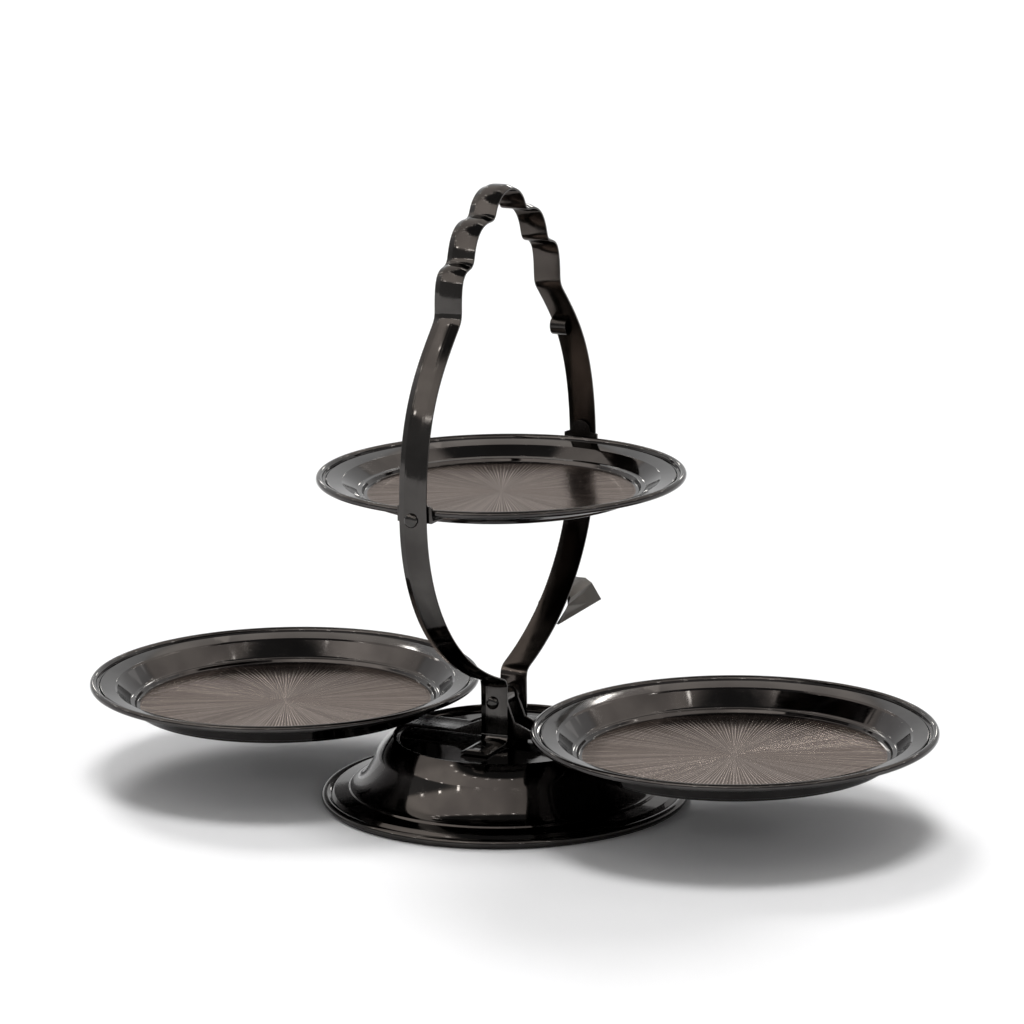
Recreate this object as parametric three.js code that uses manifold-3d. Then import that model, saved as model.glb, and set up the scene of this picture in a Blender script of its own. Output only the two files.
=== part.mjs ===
// Folding tiered cake stand: a round pressed base carries a strip hoop with a wavy grip. One plate
// tilts between the hoop's arms, and two larger plates fold up on a pin between its foot walls.
//
// Millimetres, +Z up. The origin is the centre of the base's underside. The hoop stands in the YZ
// plane and the two lower plates lie along X, so every joint axis is parallel to Y.
import * as THREE from "three";
import { mergeVertices } from "three/addons/utils/BufferGeometryUtils.js";
import Module from "manifold-3d";

// ---- Clearances ----
const touchGap = 0.3; // between faces that rest on each other
const pinGap = 0.2; // round a pin in its hole
const cutPast = 5; // how far a hole's cutting tool runs past the face

// ---- Sheet and strip ----
const plateSheet = 0.9;
const baseSheet = 1.2;
const bracketSheet = 1.2;
const stripWidth = 12.4;
const stripThickness = 2.2;

// ---- Base ----
const baseRadius = 78.7;
const baseBeadRadius = 1.9;
const baseFlangeHeight = 5.4;
const baseFlangeWidth = 13.5;
const baseStep = 1; // rise from the flange to the cone's foot
const coneTopRadius = 55;
const coneTopHeight = 19.5;
const plateauRadius = 47.7;
const plateauHeight = 27.6;
const recessDepth = 2.3;
const recessWall = 2.2;
const crestHandle = 0.8; // from the recess wall out to the crest's handle
const coneTopHandle = [-1.5, 3.5]; // handle of the cone's top bend, from the cone's top
const coneFootHandle = [-5, 2.4]; // handle of the cone's flare, from the inner edge of the flange
const baseStepRun = 1.5;
const beadShare = 0.7; // width of the standing ring under the bead, in shares of the bead's radius
const beadFrom = -Math.PI / 2 + 0.45; // the bead's visible arc
const beadTo = Math.PI / 2 - 0.3;

// ---- Hoop ----
const hoopHeight = 264;
const wallGap = 17.6; // between the two upright foot walls
const wallAbovePin = 8.8; // straight wall above the fold pin's axis
const footReach = 19; // from a wall's outer face to the foot's end
const lowerSweep = 0.6566; // how far the lower bow's handles reach, in shares of its width
const lowerSweepRise = 0.33; // slope of the bow where it leaves the wall
const lowerSweepDrop = 0.79; // length of its upright handle under the pivot, in shares of the reach
const upperSweepRise = 0.585; // length of the upright handle above the pivot, in shares of the height
const shoulderLeanOut = 17.2; // handle of the upper bow at the shoulder
const shoulderLeanDown = 17.6;
const shoulderFromTop = 48.6; // where the grip's waves begin
const shoulderHalfWidth = 48.3;
// Each side wave, from the lower one up: its valley's half width and drop from the top, and its two
// handles, measured from where the wave starts and from its valley.
const waves = [
  { valley: [36.5, 27.6], startHandle: [-0.1, 13.5], endHandle: [11, 0] },
  { valley: [15.7, 11.1], startHandle: [-1.8, 9.5], endHandle: [14, 1.6] },
];
const crownStart = [-0.4, 5.5]; // handles of the middle crest, from its valley and from the top
const crownHandle = 8;
const bendStep = 2.2; // spacing of the points along the hoop
const bendPasses = 1; // how often they are eased, which rounds each bend

// ---- Plates ----
const lowerPlate = { radius: 85, floorDepth: 10.3, ledgeDepth: 8.8 };
const topPlate = { radius: 78.1, floorDepth: 7.1, ledgeDepth: 5.5 };
const rimWidth = 11.5; // from the plate's edge to the inner edge of its flange
const rimBead = 1.5; // radius of the rolled edge
const grooveWidth = 1.6;
const grooveDepth = 0.8;
const flangeFall = 1.3;
const wallRun = 6;
const ledgeWidth = 1.8;
const ledgeRun = 0.8; // from the floor's edge out to the ledge
const ledgeRise = 0.2; // of the ledge towards the wall
const cornerInside = 0.4; // the eased corner between wall and flange, to both sides of its edge
const cornerOutside = 0.6;
const cornerDrop = 0.6;
const grooveFloorShare = 0.6; // the groove's lowest ring, in shares of its width and depth
const rimFrom = Math.PI * 1.25; // the rolled edge's visible arc
const rimTo = Math.PI * 2.9;
const topRimHeight = 140.5;
const lowerRimOffset = 21.6; // from the fold pin's axis to the nearest point of a lower plate's rim

// ---- Tilting pivots of the top plate ----
const pivotHeight = 138.2;
const pivotPinRadius = 1.5;
const pivotHeadRadius = 3;
const pivotHeadHeight = 1.6;
const washerThickness = 0.4;
const washerRadius = 4;
const earRadius = 4.3;
const earTopAboveAxis = 10.6;
const bracketHalfWidth = 7.8;
const bracketShoulder = 5; // height of the bracket's full width above the axis
const shoulderSlope = 0.8; // rise from the full width to the round ear
const bracketTongue = 9; // how far the bracket reaches in under the flange

// ---- Fold hinge of the lower plates ----
const foldPinHeight = 43.7;
const foldPinRadius = 2;
const foldHeadRadius = 2.8;
const foldHeadHeight = 1.4;
const foldWasherThickness = 0.5;
const foldWasherRadius = 4;
const sleeveWall = 1.2;
const hingeEarRadius = 4.2;
const earRoundFrom = -Math.PI * 0.06; // the ear's round end, from its arm side over the top
const earRoundTo = Math.PI * 1.12;
const hingeEarSheet = 1.5;
const hingeEarReach = 20; // from the pin's axis to the ear's thin end
const hingeEarKnee = 3; // from the side of the ear's round end to its bend
const earUnderRim = 4.5; // from the underside of a lower plate's rim down to the ear's bend
const armStart = 4; // from the fold pin's axis to the arm's inner end
const padRadius = 14; // the round pad under a lower plate's middle

// ---- Foot rivets ----
const footRivetRadius = 1.8;
const footRivetHead = 3.4;
const footRivetHeadHeight = 1.2;
const footRivetTaper = 0.8; // how much smaller the head's radius is at its end
const footRivetPlace = 0.6; // along the foot, from the wall to the foot's end

// ---- Rim catch and thumb tab on the far arm ----
const catchHeight = 194.5;
const catchRadius = 4;
const catchSheet = 1;
const catchLength = 7.2;
const catchOffset = -2.5; // along X, from the arm's centre line
// The tab's section, as half widths and heights, at its hidden root and at its outer end.
const tabRoot = { place: 40, section: [[6.2, 66.2], [6.6, 74.5], [2.8, 76.6]] };
const tabLip = { place: 76, section: [[10.5, 70], [6, 77], [2.8, 79]] };
const tabSheet = 1.2;

// ---- Values that follow from the ones above ----
const earInner = topPlate.radius + touchGap;
const earOuter = earInner + bracketSheet;
const washerInner = earOuter + pinGap;
const armInner = washerInner + washerThickness + pinGap;
const hoopHalfWidth = armInner + stripThickness;
const wallOuter = wallGap / 2 + stripThickness;
const wallTop = foldPinHeight + wallAbovePin;
const recessHeight = plateauHeight - recessDepth;
const footTop = recessHeight + touchGap + stripThickness;
const armBottom = plateauHeight + touchGap;
const armTop = armBottom + bracketSheet;
const lowerRimHeight = armTop + touchGap + plateSheet + lowerPlate.floorDepth;
const lowerPlateCentre = lowerRimOffset + lowerPlate.radius;
const foldWasherInner = wallGap / 2 - pinGap - foldWasherThickness;
const outerEarY = foldWasherInner - pinGap;
const innerEarY = outerEarY - hingeEarSheet - touchGap;

const latheSegments = 40;
const pinSegments = 16;

// ---- Materials ----
const chrome = (color, roughness) => new THREE.MeshStandardMaterial({ color, roughness, metalness: 1 });
const plateMaterial = chrome(0x4a4543, 0.12);
const baseMaterial = chrome(0x3a3837, 0.1);
const hoopMaterial = chrome(0x403c3a, 0.1);
const bracketMaterial = chrome(0x35332f, 0.3);
const rivetMaterial = chrome(0x4c4a48, 0.2);
const tabMaterial = chrome(0x6a6664, 0.35);

const stand = new THREE.Group();
stand.name = "tiered_cake_stand";

function addPiece(name, geometry, material, parent = stand) {
  const mesh = new THREE.Mesh(geometry, material);
  mesh.name = name;
  parent.add(mesh);
  return mesh;
}

// ---- Solids: joining and cutting ----
const wasm = await Module();
wasm.setup();

function toSolid(geometry) {
  const bare = geometry.index ? geometry.toNonIndexed() : geometry.clone();
  bare.deleteAttribute("normal");
  bare.deleteAttribute("uv");
  const merged = mergeVertices(bare, 1e-4);
  return new wasm.Manifold(new wasm.Mesh({
    numProp: 3,
    vertProperties: merged.attributes.position.array,
    triVerts: new Uint32Array(merged.index.array),
  }));
}

function toGeometry(solid) {
  const mesh = solid.getMesh();
  const geometry = new THREE.BufferGeometry();
  geometry.setAttribute("position", new THREE.BufferAttribute(mesh.vertProperties, 3));
  geometry.setIndex(new THREE.BufferAttribute(mesh.triVerts, 1));
  geometry.computeVertexNormals();
  return geometry;
}

const join = (...pieces) => toGeometry(pieces.map(toSolid).reduce((a, b) => a.add(b)));
const cut = (piece, ...tools) => toGeometry(
  tools.map(toSolid).reduce((a, b) => a.subtract(b), toSolid(piece)));

// ---- Shape helpers ----
const point = (x, y) => new THREE.Vector2(x, y);

// A line moved sideways to its left by a distance, with its corners mitred.
function offsetLine(line, distance) {
  return line.map((here, i) => {
    const before = line[Math.max(i - 1, 0)];
    const after = line[Math.min(i + 1, line.length - 1)];
    const into = here.clone().sub(before).normalize();
    const out = after.clone().sub(here).normalize();
    const along = into.clone().add(out).normalize();
    const turn = Math.max(along.dot(i > 0 ? into : out), 0.5);
    return point(here.x - (along.y * distance) / turn, here.y + (along.x * distance) / turn);
  });
}

// A profile of radius and height, turned round the Z axis.
function turned(profile, segments = latheSegments) {
  return new THREE.LatheGeometry(profile, segments).rotateX(Math.PI / 2);
}

const extrude = (outline, depth, curveSegments = 12) => new THREE.ExtrudeGeometry(
  outline, { depth, bevelEnabled: false, curveSegments });

// An outline in the YZ plane, extruded along X between two places.
function extrudeAlongX(outline, start, end) {
  const flat = extrude(outline, end - start);
  const turn = new THREE.Matrix4().makeBasis(
    new THREE.Vector3(0, 1, 0), new THREE.Vector3(0, 0, 1), new THREE.Vector3(1, 0, 0));
  return flat.applyMatrix4(turn).translate(start, 0, 0);
}

// An outline in the XZ plane, extruded along Y between two places.
function extrudeAlongY(outline, start, end) {
  return extrude(outline, end - start).rotateX(Math.PI / 2).translate(0, end, 0);
}

function cylinderAlongY(radius, start, end, x, z) {
  const bar = new THREE.CylinderGeometry(radius, radius, end - start, pinSegments);
  return bar.translate(x, (start + end) / 2, z);
}

// A rivet along +Y: shank from start to face, then a domed head standing on the face.
function domedRivet(shankRadius, headRadius, headHeight, start, face) {
  const dome = new THREE.Path();
  dome.moveTo(0, start);
  dome.lineTo(shankRadius, start);
  dome.lineTo(shankRadius, face);
  dome.lineTo(headRadius, face);
  dome.quadraticCurveTo(headRadius, face + headHeight, 0, face + headHeight);
  return new THREE.LatheGeometry(dome.getPoints(4), pinSegments);
}

// ---- Base: one pressed sheet, hollow underneath, with a rolled outer edge ----
function baseGeometry() {
  const coneFoot = baseRadius - baseFlangeWidth;
  const beadCentre = point(baseRadius - baseBeadRadius, baseBeadRadius);
  const face = new THREE.Path();
  face.moveTo(0, recessHeight);
  face.lineTo(plateauRadius - recessWall, recessHeight);
  face.quadraticCurveTo(
    plateauRadius - recessWall + crestHandle, plateauHeight, plateauRadius, plateauHeight);
  face.quadraticCurveTo(
    coneTopRadius + coneTopHandle[0], coneTopHeight + coneTopHandle[1], coneTopRadius, coneTopHeight);
  face.quadraticCurveTo(
    coneFoot + coneFootHandle[0], baseFlangeHeight + coneFootHandle[1],
    coneFoot, baseFlangeHeight + baseStep);
  face.lineTo(coneFoot + baseStepRun, baseFlangeHeight);
  face.lineTo(beadCentre.x, baseBeadRadius * 2);
  const top = face.getPoints(4);
  const under = offsetLine(top, -baseSheet);
  under[0].x = 0;
  const ringInner = beadCentre.x - baseBeadRadius * beadShare;
  under[under.length - 1].set(ringInner, baseBeadRadius);
  const bead = new THREE.Path();
  bead.absarc(beadCentre.x, beadCentre.y, baseBeadRadius, beadFrom, beadTo, false);
  const foot = [point(ringInner, 0)];
  const rim = bead.getPoints(5);
  rim[0].y = 0;
  return cut(turned([...under, ...foot, ...rim, ...top.reverse()]), ...footRivetHoles());
}

// ---- Hoop: one strip bent into feet, walls, arms and a wavy grip ----
// The outer face of the strip's +Y half, from the end of the foot to the top of the grip.
function hoopHalf() {
  const reach = lowerSweep * (hoopHalfWidth - wallOuter);
  const path = new THREE.Path();
  path.moveTo(wallOuter + footReach, footTop);
  path.lineTo(wallOuter, footTop);
  path.lineTo(wallOuter, wallTop);
  path.bezierCurveTo(
    wallOuter + reach, wallTop + reach * lowerSweepRise,
    hoopHalfWidth, pivotHeight - reach * lowerSweepDrop,
    hoopHalfWidth, pivotHeight);
  const shoulder = point(shoulderHalfWidth, hoopHeight - shoulderFromTop);
  path.bezierCurveTo(
    hoopHalfWidth, pivotHeight + (shoulder.y - pivotHeight) * upperSweepRise,
    shoulder.x + shoulderLeanOut, shoulder.y - shoulderLeanDown,
    shoulder.x, shoulder.y);
  for (const { valley, startHandle, endHandle } of waves) {
    const end = point(valley[0], hoopHeight - valley[1]);
    const start = path.currentPoint;
    path.bezierCurveTo(
      start.x + startHandle[0], start.y + startHandle[1],
      end.x + endHandle[0], end.y + endHandle[1],
      end.x, end.y);
  }
  const valley = path.currentPoint;
  path.bezierCurveTo(
    valley.x + crownStart[0], valley.y + crownStart[1],
    crownHandle, hoopHeight,
    0, hoopHeight);
  return path;
}

// Both halves as evenly spaced points, each eased towards its neighbours to round the bends.
function hoopLine() {
  const half = hoopHalf();
  const count = Math.round(half.getLength() / bendStep);
  const right = half.getSpacedPoints(count);
  const left = right.slice(0, -1).map((p) => point(-p.x, p.y));
  let line = [...left, ...right.reverse()];
  for (let pass = 0; pass < bendPasses; pass += 1) {
    line = line.map((p, i) => {
      if (i === 0 || i === line.length - 1) return p;
      return p.clone().multiplyScalar(2).add(line[i - 1]).add(line[i + 1]).multiplyScalar(0.25);
    });
  }
  return line;
}

const outerLine = hoopLine();

const stripOutline = (near, far) => new THREE.Shape([
  ...offsetLine(outerLine, near),
  ...offsetLine(outerLine, far).reverse(),
]);

// The outer face's place and direction on the +Y arm, above the pivot, at a height.
function armAt(height) {
  const i = outerLine.findIndex((p, k) => p.x > 0 && p.y >= height && outerLine[k + 1].y < height);
  const [above, below] = [outerLine[i], outerLine[i + 1]];
  const share = (above.y - height) / (above.y - below.y);
  return { y: above.x + (below.x - above.x) * share, along: below.clone().sub(above).normalize() };
}

function hoopGeometry() {
  const strip = extrudeAlongX(stripOutline(0, -stripThickness), -stripWidth / 2, stripWidth / 2);
  const holes = [
    cylinderAlongY(
      pivotPinRadius + pinGap, -hoopHalfWidth - cutPast, hoopHalfWidth + cutPast, 0, pivotHeight),
    cylinderAlongY(foldPinRadius + pinGap, -wallOuter - cutPast, wallOuter + cutPast, 0, foldPinHeight),
  ];
  return cut(strip, ...holes, ...footRivetHoles());
}

// ---- Foot rivets: flush in each foot, headed under the base ----
const footRivetY = wallOuter + footReach * footRivetPlace;

const footRivetHoles = () => [1, -1].map((side) => {
  const hole = new THREE.CylinderGeometry(
    footRivetRadius + pinGap, footRivetRadius + pinGap, plateauHeight, pinSegments);
  return hole.rotateX(Math.PI / 2).translate(0, side * footRivetY, recessHeight);
});

function footRivetGeometry() {
  const under = recessHeight - baseSheet - touchGap;
  return turned([
    point(0, under - footRivetHeadHeight),
    point(footRivetHead - footRivetTaper, under - footRivetHeadHeight),
    point(footRivetHead, under),
    point(footRivetRadius, under),
    point(footRivetRadius, footTop),
    point(0, footTop),
  ], pinSegments);
}

// ---- Plates: heights are measured from the middle of the rolled edge ----
function plateGeometry({ radius, floorDepth, ledgeDepth }) {
  const beadInner = radius - 2 * rimBead;
  const flangeInner = radius - rimWidth;
  const wallFoot = flangeInner - wallRun;
  const floorEdge = wallFoot - ledgeWidth;
  const face = new THREE.Path();
  face.moveTo(0, -floorDepth);
  face.lineTo(floorEdge - ledgeRun, -floorDepth);
  face.lineTo(floorEdge, -ledgeDepth);
  face.lineTo(wallFoot, -ledgeDepth + ledgeRise);
  face.lineTo(flangeInner - cornerInside, -flangeFall - cornerDrop);
  face.lineTo(flangeInner + cornerOutside, -flangeFall);
  face.lineTo(beadInner - grooveWidth, 0);
  face.lineTo(beadInner - grooveWidth * grooveFloorShare, -grooveDepth);
  face.lineTo(beadInner, -grooveDepth * grooveFloorShare);
  const top = face.getPoints();
  const under = offsetLine(top, -plateSheet);
  under[0].x = 0;
  const bead = new THREE.Path();
  bead.absarc(radius - rimBead, 0, rimBead, rimFrom, rimTo, false);
  return turned([...under.slice(0, -1), ...bead.getPoints(7), ...top.slice(0, -1).reverse()]);
}

// ---- Arm under a lower plate: a flat bar with a round pad and two upright hinge ears ----
function armGeometry(earY) {
  const pad = new THREE.Shape();
  const padAngle = Math.asin(earY / padRadius);
  pad.moveTo(armStart, -earY);
  pad.lineTo(lowerPlateCentre - padRadius * Math.cos(padAngle), -earY);
  pad.absarc(lowerPlateCentre, 0, padRadius, Math.PI + padAngle, Math.PI * 3 - padAngle, false);
  pad.lineTo(armStart, earY);
  pad.closePath();
  const bar = extrude(pad, bracketSheet, 24);
  bar.translate(0, 0, armBottom);

  const ear = new THREE.Shape();
  ear.moveTo(armStart, armBottom);
  ear.lineTo(hingeEarReach, armBottom);
  ear.lineTo(hingeEarReach, armTop);
  ear.lineTo(hingeEarRadius + hingeEarKnee, lowerRimHeight - rimBead - earUnderRim);
  ear.absarc(0, foldPinHeight, hingeEarRadius, earRoundFrom, earRoundTo, false);
  ear.closePath();
  const hole = new THREE.Path();
  hole.absarc(0, foldPinHeight, foldPinRadius + pinGap, 0, Math.PI * 2, true);
  ear.holes.push(hole);
  const ears = [
    extrudeAlongY(ear, earY - hingeEarSheet, earY),
    extrudeAlongY(ear, -earY, -earY + hingeEarSheet),
  ];
  return join(bar, ...ears);
}

// ---- Pivot bracket: a tongue under the top plate's flange and an ear standing up beside the arm ----
function bracketGeometry() {
  const flangeUnder = topRimHeight - flangeFall - plateSheet - touchGap;
  const beadUnder = topRimHeight - rimBead - touchGap;
  const tongueTop = Math.min(flangeUnder, beadUnder);
  const tongueBottom = tongueTop - bracketSheet;
  const earTop = pivotHeight + earTopAboveAxis;
  const ear = new THREE.Shape();
  ear.moveTo(-bracketHalfWidth, tongueBottom);
  ear.lineTo(bracketHalfWidth, tongueBottom);
  ear.lineTo(bracketHalfWidth, pivotHeight + bracketShoulder);
  ear.lineTo(earRadius, pivotHeight + bracketShoulder + shoulderSlope);
  ear.absarc(0, earTop - earRadius, earRadius, 0, Math.PI, false);
  ear.lineTo(-bracketHalfWidth, pivotHeight + bracketShoulder);
  ear.closePath();
  const upright = extrudeAlongY(ear, earInner, earOuter);
  const tongue = new THREE.BoxGeometry(2 * bracketHalfWidth, bracketTongue + bracketSheet, bracketSheet);
  tongue.translate(0, earOuter - (bracketTongue + bracketSheet) / 2, (tongueTop + tongueBottom) / 2);
  const hole = cylinderAlongY(
    pivotPinRadius + pinGap, earInner - bracketTongue, earOuter + cutPast, 0, pivotHeight);
  return cut(join(upright, tongue), hole);
}

// A ring round the Y axis, from one place along it to another.
function ringAlongY(bore, radius, start, end) {
  const section = [point(bore, start), point(radius, start), point(radius, end), point(bore, end)];
  return new THREE.LatheGeometry([...section, section[0]], pinSegments);
}

// ---- Fold pin: a long rivet through both walls ----
function foldPinGeometry() {
  const face = wallOuter + touchGap;
  const dome = new THREE.Path();
  dome.moveTo(0, -face - foldHeadHeight);
  dome.quadraticCurveTo(foldHeadRadius, -face - foldHeadHeight, foldHeadRadius, -face);
  dome.lineTo(foldPinRadius, -face);
  dome.lineTo(foldPinRadius, face);
  dome.lineTo(foldHeadRadius, face);
  dome.quadraticCurveTo(foldHeadRadius, face + foldHeadHeight, 0, face + foldHeadHeight);
  return new THREE.LatheGeometry(dome.getPoints(4), pinSegments);
}

// ---- Rim catch: a half roll of sheet on the inside of the +Y arm ----
function catchGeometry() {
  const arm = armAt(catchHeight);
  const inward = point(arm.along.y, -arm.along.x);
  const seat = point(arm.y, catchHeight).add(inward.clone().multiplyScalar(stripThickness + touchGap));
  const facing = Math.atan2(inward.y, inward.x);
  const roll = new THREE.Shape();
  roll.absarc(seat.x, seat.y, catchRadius, facing - Math.PI / 2, facing + Math.PI / 2, false);
  roll.absarc(seat.x, seat.y, catchRadius - catchSheet, facing + Math.PI / 2, facing - Math.PI / 2, true);
  roll.closePath();
  return extrudeAlongX(roll, catchOffset - catchLength / 2, catchOffset + catchLength / 2);
}

// ---- Thumb tab: an inverted channel that runs out from the +Y arm and flares towards its end ----
function tabGeometry() {
  const outlines = [tabRoot, tabLip].map(({ section }) => {
    const right = section.map(([x, z]) => point(x, z));
    const outside = [...right, ...right.map((p) => point(-p.x, p.y)).reverse()];
    return [...outside, ...offsetLine(outside, tabSheet).reverse()];
  });
  const places = [tabRoot.place, tabLip.place];
  const corners = outlines.flatMap((outline, i) => outline.map((p) => [p.x, places[i], p.y]));
  const count = outlines[0].length;
  const faces = [];
  outlines[0].forEach((corner, i) => {
    const next = (i + 1) % count;
    faces.push([i, count + next, next], [i, count + i, count + next]);
  });
  const endFaces = (outline) => THREE.ShapeUtils.triangulateShape(outline, []);
  endFaces(outlines[0]).forEach(([a, b, c]) => faces.push([a, b, c]));
  endFaces(outlines[1]).forEach(([a, b, c]) => faces.push([count + c, count + b, count + a]));
  const channel = new THREE.BufferGeometry();
  channel.setAttribute("position", new THREE.Float32BufferAttribute(corners.flat(), 3));
  channel.setIndex(faces.flat());
  const insideOfHoop = new THREE.Shape(offsetLine(outerLine, touchGap).filter((p) => p.y > wallTop));
  const reach = 2 * tabLip.section[0][0];
  return cut(channel, extrudeAlongX(insideOfHoop, -reach, reach));
}

// ---- Assembly ----
addPiece("base", baseGeometry(), baseMaterial);
addPiece("hoop", hoopGeometry(), hoopMaterial);

for (const [side, name] of [[-1, "near"], [1, "far"]]) {
  addPiece(`foot_rivet_${name}`, footRivetGeometry(), rivetMaterial).position.y = side * footRivetY;

  const pivot = new THREE.Group();
  pivot.rotation.z = side < 0 ? Math.PI : 0;
  stand.add(pivot);
  addPiece(`pivot_bracket_${name}`, bracketGeometry(), bracketMaterial, pivot);
  const pivotWasher = ringAlongY(
    pivotPinRadius + pinGap, washerRadius, washerInner, washerInner + washerThickness);
  addPiece(`pivot_washer_${name}`, pivotWasher, rivetMaterial, pivot).position.z = pivotHeight;
  const pivotRivet = domedRivet(
    pivotPinRadius, pivotHeadRadius, pivotHeadHeight, earInner, hoopHalfWidth + touchGap);
  addPiece(`pivot_rivet_${name}`, pivotRivet, rivetMaterial, pivot).position.z = pivotHeight;

  const foldWasher = ringAlongY(
    foldPinRadius + pinGap, foldWasherRadius, foldWasherInner, foldWasherInner + foldWasherThickness);
  addPiece(`fold_washer_${name}`, foldWasher, rivetMaterial, pivot).position.z = foldPinHeight;
}

addPiece("fold_pin", foldPinGeometry(), rivetMaterial).position.z = foldPinHeight;
const sleeveHalf = innerEarY - hingeEarSheet - touchGap;
const sleeveBore = foldPinRadius + pinGap;
const sleeve = ringAlongY(sleeveBore, sleeveBore + sleeveWall, -sleeveHalf, sleeveHalf);
addPiece("fold_sleeve", sleeve, rivetMaterial).position.z = foldPinHeight;

addPiece("top_plate", plateGeometry(topPlate), plateMaterial).position.z = topRimHeight;
for (const [side, name, earY] of [[-1, "left", outerEarY], [1, "right", innerEarY]]) {
  const half = new THREE.Group();
  half.rotation.z = side < 0 ? Math.PI : 0;
  stand.add(half);
  const plate = addPiece(`${name}_plate`, plateGeometry(lowerPlate), plateMaterial, half);
  plate.position.set(lowerPlateCentre, 0, lowerRimHeight);
  addPiece(`${name}_arm`, armGeometry(earY), bracketMaterial, half);
}

addPiece("rim_catch", catchGeometry(), bracketMaterial);
addPiece("thumb_tab", tabGeometry(), tabMaterial);

export default stand;
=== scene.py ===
"""Folding tiered cake stand in dark smoked chrome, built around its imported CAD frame.

Shapes are worked out in millimetres and made in metres. +Z is up, the hoop stands in the YZ plane
and the two lower plates lie along X.
"""

import math

import bmesh
import bpy
from mathutils import Matrix, Vector


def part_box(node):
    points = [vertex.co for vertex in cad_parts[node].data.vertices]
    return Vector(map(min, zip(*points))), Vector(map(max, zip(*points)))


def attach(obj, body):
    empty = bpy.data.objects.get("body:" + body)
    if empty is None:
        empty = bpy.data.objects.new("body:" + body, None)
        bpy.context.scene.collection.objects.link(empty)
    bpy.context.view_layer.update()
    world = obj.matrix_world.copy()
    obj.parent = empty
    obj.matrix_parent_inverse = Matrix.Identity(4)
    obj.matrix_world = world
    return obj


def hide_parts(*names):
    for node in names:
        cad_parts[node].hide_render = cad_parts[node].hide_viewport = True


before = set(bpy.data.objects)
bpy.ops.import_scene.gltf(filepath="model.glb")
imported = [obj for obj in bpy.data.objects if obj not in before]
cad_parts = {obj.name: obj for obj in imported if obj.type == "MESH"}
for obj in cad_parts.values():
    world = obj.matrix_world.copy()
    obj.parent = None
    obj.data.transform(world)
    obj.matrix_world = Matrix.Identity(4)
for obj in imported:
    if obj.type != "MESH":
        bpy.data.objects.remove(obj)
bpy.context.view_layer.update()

MM = 0.001


def box_mm(node):
    """A CAD node's lowest and highest corners, in millimetres."""
    low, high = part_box(node)
    return low / MM, high / MM


# ---- Sizes, in millimetres: from the frame where it has them ----
hoop_low, hoop_high = box_mm("hoop")
fold_pin_low, fold_pin_high = box_mm("fold_pin")
fold_pin_height = (fold_pin_low.z + fold_pin_high.z) / 2
pivot_rivet_low, pivot_rivet_high = box_mm("pivot_rivet_far")
pivot_height = (pivot_rivet_low.z + pivot_rivet_high.z) / 2

# The base. A handle is how far a curve's middle point lies from the curve's end.
base_sheet = 1.2
base_bead = 1.9
flange_width = 13.5
flange_height = 5.4
cone_foot_rise = 1.0
cone_top = (55.0, 19.5)
cone_handle = (-5.0, 1.4)
crest_radius = 47.7
crest_handle = (-1.5, 3.5)
lip_run = 1.9
lip_fall = 0.7
lip_handle_run = 1.2
recess_corner_run = 2.8
recess_depth = 2.3

# The plates, from the rolled edge in to the floor.
plate_sheet = 0.9
rim_width = 11.5
rim_bead = 1.5
groove_width = 1.6
groove_depth = 0.8
flange_fall = 1.3
wall_run = 6.0
ledge_width = 1.8
ledge_slope = 0.2
ledge_step = 0.8
floor_margin = 2.2
lower_floor_depth = 10.3
lower_ledge_depth = 8.8
top_floor_depth = 7.1
top_ledge_depth = 5.5

# The plates' sunburst floor. ray_samples is a ray's rise across its width, as a share of its crest.
# Going in from the floor's edge, the rays start at ray_start and are full from ray_full on.
sunburst_rays = 180
ray_samples = (0.0, 0.5, 1.0, 0.5, 0.0, 0.0)
ray_slope = 0.0018
ray_start = 0.5
ray_full = 1.6
ray_rings = (52.0, 40.0, 28.0, 18.0, 10.0, 5.0, 2.0)
ray_ring_gap = 2.0

# The strip's section: a face between two chamfers, with a fine groove along each crease.
strip_width = hoop_high.x - hoop_low.x
strip_thickness = 2.2
strip_chamfer = 3.3
strip_slope = 0.40
strip_crown = 0.10
strip_groove = 0.10
groove_spread = 0.22
crease_ease = 0.12
face_margin = 0.18
front_corner = ((0.05, 0.08), (0.0, 0.22))
back_corner = ((0.0, 0.3), (0.1, 0.08), (0.3, 0.0))
end_ease = (0.25, 0.06)
end_narrowing = 0.12

# The strip's line from a foot up over one arm: foot, wall, lower bow, upper sweep, shoulder and grip.
hoop_half_width = hoop_high.y
foot_end = 30.0
foot_top = hoop_low.z + strip_thickness
wall_outer = 11.0
wall_above_pin = 8.8
lower_sweep = 0.6566
bow_start_rise = 0.33
bow_end_rise = 0.79
upper_sweep_rise = 0.585
grip_top = 264.0
shoulder_from_top = 48.6
shoulder_half_width = 48.3
shoulder_lean = (17.2, -17.6)
# Each wave of the grip: its valley's half width and depth under the top, and its curve's two handles.
grip_waves = (
    ((36.5, 27.6), (-0.1, 13.5), (11.0, 0.0)),
    ((15.7, 11.1), (-1.8, 9.5), (14.0, 1.6)),
)
crown_start = (-0.4, 5.5)
crown_handle = 8.0

# Rivets and washers.
pivot_washer_bore = 1.7
fold_washer_bore = 2.2
pivot_shank = 1.5
pivot_collar = 2.7
pivot_head = 3.0
pivot_head_height = 1.6
shank_ease = 0.1
foot_shank = 1.8
foot_shank_ease = 0.15
foot_head = 3.4
foot_head_face = 2.4
foot_head_slope = 0.9
foot_head_height = 1.2
fold_shank = 2.0
fold_collar = 2.55
fold_head = 2.8
fold_head_height = 1.4

# How far the edges of the bent sheet parts are rounded.
bracket_bevel = 0.2
catch_bevel = 0.15
tab_bevel = 0.3


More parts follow.
